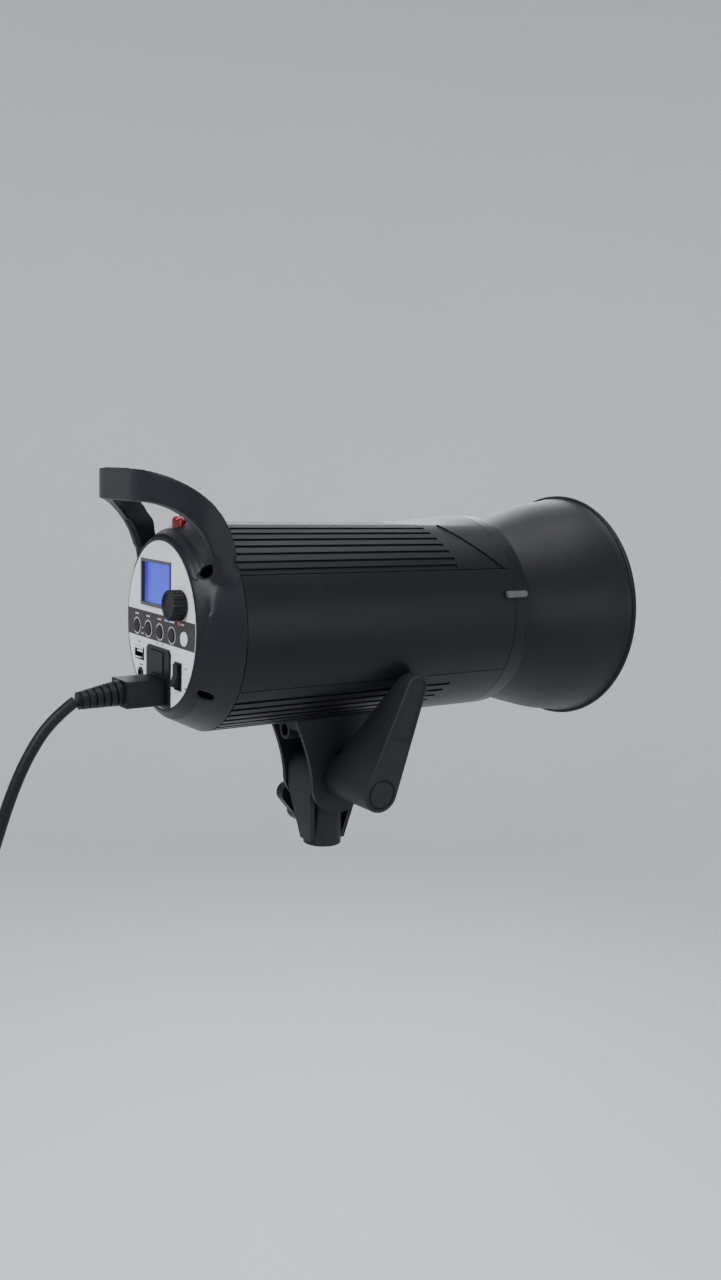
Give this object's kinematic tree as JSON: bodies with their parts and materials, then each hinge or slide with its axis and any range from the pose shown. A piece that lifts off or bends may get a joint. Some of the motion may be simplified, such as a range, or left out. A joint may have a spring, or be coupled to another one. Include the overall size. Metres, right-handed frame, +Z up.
{
  "type": "monolight strobe",
  "caption": "Self-contained studio flash head: round ribbed housing on a tilt bracket with stand socket, rear control panel, top handle, bayonet reflector and mains lead.",
  "frame": {"origin": "centre of the mouth of the stand socket, on the socket's axis", "axes": "+X along the light beam, +Y to the operator's left, +Z up; the socket opens along -Z"},
  "size_m": [0.5128, 0.1726, 0.4263],
  "materials": {
    "housing_plastic": "satin moulded",
    "collar_plastic": "satin moulded",
    "rear_plastic": "satin moulded",
    "bracket_plastic": "fine texture",
    "knob_plastic": "fine texture",
    "panel_white": "printed sheet",
    "band_grey": "printed sheet",
    "bezel_black": "gloss",
    "screen": "backlit",
    "dial_black": "knurled",
    "button_black": "satin",
    "button_white": "translucent",
    "port_black": "matte",
    "inlet_black": "matte",
    "contact_metal": "plated",
    "dome_red": "translucent",
    "steel": "zinc plated",
    "black_steel": "black oxide",
    "slider_silver": "silvered",
    "bayonet_aluminium": "turned",
    "reflector_paint": "black outside, silver inside",
    "tube_glass": "clear",
    "bulb_glass": "frosted",
    "socket_white": "glazed",
    "sheet_metal": "folded sheet",
    "capacitor_sleeve": "shrink sleeve",
    "circuit_board": "laminate",
    "iron_core": "laminated",
    "fan_black": "moulded",
    "friction_fibre": "fibre",
    "lead_black": "moulded",
    "tie_black": "strap"
  },
  "bodies": {
    "receiver": {"stand_receiver": "bracket_plastic"},
    "head": {"top_cover": "housing_plastic", "bottom_cover": "housing_plastic", "side_panel_left": "housing_plastic", "side_panel_right": "housing_plastic", "front_collar": "collar_plastic", "bayonet_ring": "bayonet_aluminium", "lamp_plate": "sheet_metal", "flash_tube": "tube_glass", "lamp_socket": "socket_white", "modelling_lamp": "bulb_glass", "chassis": "sheet_metal", "main_capacitors": "capacitor_sleeve", "power_board": "circuit_board", "transformer": "iron_core", "control_board": "circuit_board", "fan_frame": "fan_black", "rear_cover": "rear_plastic", "rear_screws": "black_steel", "handle": "rear_plastic", "sensor_dome": "dome_red", "control_panel": "panel_white", "button_band": "band_grey", "lcd_bezel": "bezel_black", "lcd_window": "screen", "encoder": "sheet_metal", "usb_socket": "port_black", "sync_jack": "port_black", "inlet": "inlet_black", "inlet_pins": "contact_metal", "rocker_frame": "port_black", "tilt_bracket": "bracket_plastic", "bracket_screws": "steel", "pivot_bolt": "steel", "friction_discs": "friction_fibre", "cord_plug": "lead_black", "strain_relief": "lead_black", "cord": "lead_black", "cord_coil": "lead_black", "coil_tie": "tie_black", "cord_tail": "lead_black", "mains_plug": "lead_black"},
    "stand_knob": {"stand_knob": "knob_plastic", "knob_stud": "steel"},
    "tilt_lever": {"tilt_lever": "bracket_plastic", "lever_nut": "steel"},
    "reflector": {"reflector": "reflector_paint", "reflector_bayonet": "bayonet_aluminium"},
    "release_slider": {"release_slider": "slider_silver", "lock_pin": "steel"},
    "fan_rotor": {"fan_rotor": "fan_black"},
    "dial": {"dial": "dial_black"},
    "power_rocker": {"power_rocker": "port_black"},
    "fuse_drawer": {"fuse_drawer": "inlet_black"},
    "button_1": {"button_1": "button_black"},
    "button_2": {"button_2": "button_black"},
    "button_3": {"button_3": "button_black"},
    "button_4": {"button_4": "button_black"},
    "button_5": {"button_5": "button_white"}
  },
  "joints": [
    {"name": "tilt", "type": "hinge", "parent": "receiver", "child": "head", "pos_m": [0, 0, 0.0515], "axis": [0, 1, 0], "range_deg": [-90, 90]},
    {"name": "stand_knob_turn", "type": "hinge", "parent": "receiver", "child": "stand_knob", "pos_m": [0, 0.028, 0.0165], "axis": [0, 1, 0], "range_deg": [0, 720]},
    {"name": "lever_turn", "type": "hinge", "parent": "head", "child": "tilt_lever", "pos_m": [0, -0.04, 0.0515], "axis": [0, -1, 0], "range_deg": [0, 150]},
    {"name": "reflector_twist", "type": "hinge", "parent": "head", "child": "reflector", "pos_m": [0.1245, 0, 0.1615], "axis": [1, 0, 0], "range_deg": [0, 22]},
    {"name": "release_slide", "type": "slide", "parent": "head", "child": "release_slider", "axis": [-1, 0, 0], "range_m": [0, 0.004], "stiffness_N_per_m": 300},
    {"name": "fan_spin", "type": "hinge", "parent": "head", "child": "fan_rotor", "pos_m": [-0.0875, 0, 0.1615], "axis": [1, 0, 0], "continuous": true},
    {"name": "dial_turn", "type": "hinge", "parent": "head", "child": "dial", "pos_m": [-0.1303, -0.031, 0.1775], "axis": [-1, 0, 0], "continuous": true},
    {"name": "rocker_press", "type": "hinge", "parent": "head", "child": "power_rocker", "pos_m": [-0.1258, -0.0273, 0.1329], "axis": [0, 1, 0], "range_deg": [-18, 0]},
    {"name": "fuse_drawer_pull", "type": "slide", "parent": "head", "child": "fuse_drawer", "axis": [-1, 0, 0], "range_m": [0, 0.012]},
    {"name": "button_1_press", "type": "slide", "parent": "head", "child": "button_1", "axis": [1, 0, 0], "range_m": [0, 0.001], "stiffness_N_per_m": 600},
    {"name": "button_2_press", "type": "slide", "parent": "head", "child": "button_2", "axis": [1, 0, 0], "range_m": [0, 0.001], "stiffness_N_per_m": 600},
    {"name": "button_3_press", "type": "slide", "parent": "head", "child": "button_3", "axis": [1, 0, 0], "range_m": [0, 0.001], "stiffness_N_per_m": 600},
    {"name": "button_4_press", "type": "slide", "parent": "head", "child": "button_4", "axis": [1, 0, 0], "range_m": [0, 0.001], "stiffness_N_per_m": 600},
    {"name": "button_5_press", "type": "slide", "parent": "head", "child": "button_5", "axis": [1, 0, 0], "range_m": [0, 0.001], "stiffness_N_per_m": 600}
  ]
}
